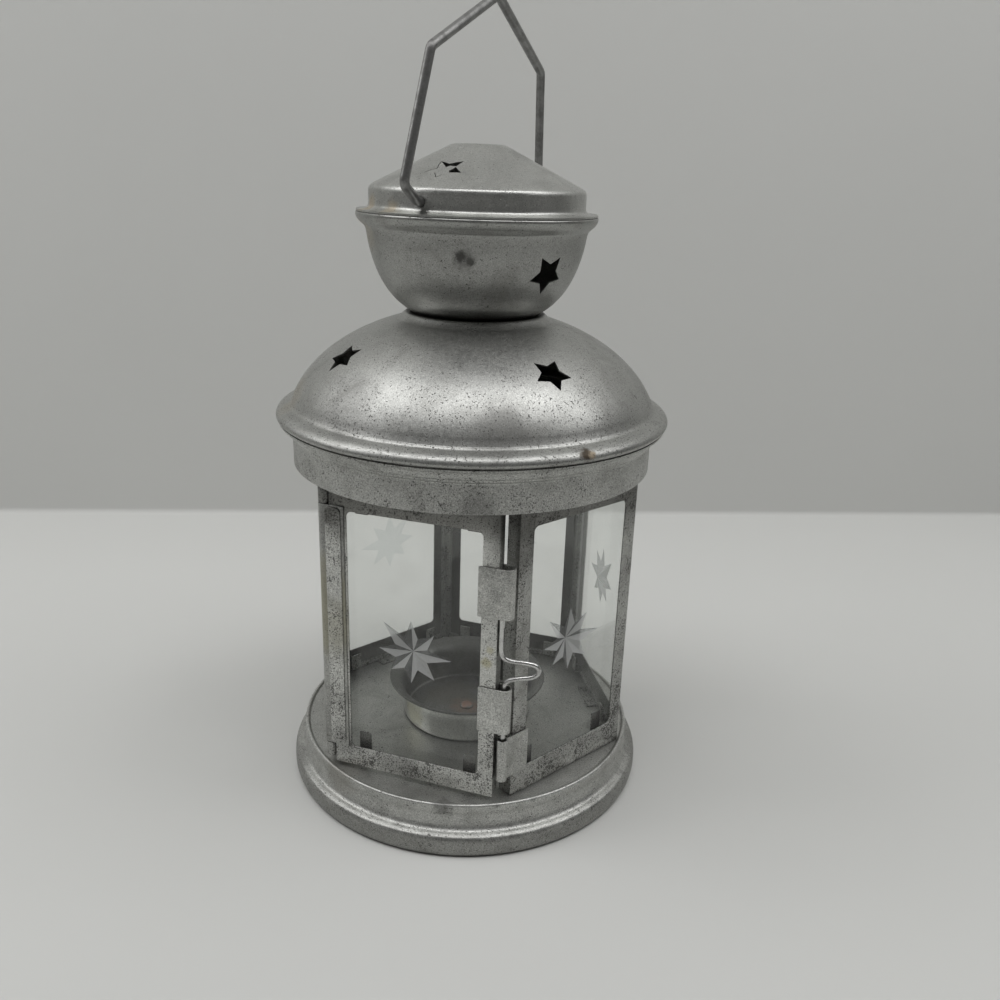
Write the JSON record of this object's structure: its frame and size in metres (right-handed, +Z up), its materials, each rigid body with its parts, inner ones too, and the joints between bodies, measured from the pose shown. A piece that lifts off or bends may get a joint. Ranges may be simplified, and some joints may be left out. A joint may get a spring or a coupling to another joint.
{
  "type": "tealight lantern",
  "caption": "Round-based sheet-metal lantern with a six-sided glazed cage, a hinged glass door with a lift latch, a star-punched dome and vent cap, and a bent wire bail.",
  "frame": {"origin": "centre of the base ring on the surface it stands on", "axes": "+Z up through the cap; -Y out through the middle of the glazed door; +X to the latch side of the door as seen from the front"},
  "size_m": [0.115, 0.115, 0.2286],
  "materials": {
    "zinc_sheet": "galvanized sheet, dull grey with dark pitting",
    "cup_sheet": "pressed sheet, slightly brighter and warmer",
    "bright_wire": "bright drawn wire",
    "bail_wire": "dull dark grey wire",
    "pane_glass": "clear flat glass with a cut star"
  },
  "bodies": {
    "lantern": {"base_tray": "zinc_sheet", "cage_frame": "zinc_sheet", "top_ring": "zinc_sheet", "collar_ring": "zinc_sheet", "dome": "zinc_sheet", "vent_bowl": "zinc_sheet", "vent_cap": "zinc_sheet", "knuckle_upper": "zinc_sheet", "knuckle_lower": "zinc_sheet", "hinge_pin": "bright_wire", "latch_catch": "zinc_sheet", "candle_cup": "cup_sheet", "cup_rivet": "bright_wire", "right_glass": "pane_glass", "right_rear_glass": "pane_glass", "rear_glass": "pane_glass", "left_rear_glass": "pane_glass", "left_glass": "pane_glass"},
    "door": {"door_frame": "zinc_sheet", "door_glass": "pane_glass", "hinge_leaf": "zinc_sheet", "clip_upper": "zinc_sheet", "clip_lower": "zinc_sheet"},
    "latch": {"latch_rod": "bright_wire"},
    "bail": {"bail_handle": "bail_wire"}
  },
  "joints": [
    {"name": "door_swing", "type": "hinge", "parent": "lantern", "child": "door", "pos_m": [-0.02678, -0.04325, 0.06], "axis": [0, 0, -1], "range_deg": [0, 120]},
    {"name": "latch_lift", "type": "slide", "parent": "door", "child": "latch", "axis": [0, 0, 1], "range_m": [0, 0.01]},
    {"name": "bail_swing", "type": "hinge", "parent": "lantern", "child": "bail", "pos_m": [0, 0, 0.1768], "axis": [-0.1461, -0.9893, 0], "range_deg": [-129, 139]}
  ]
}
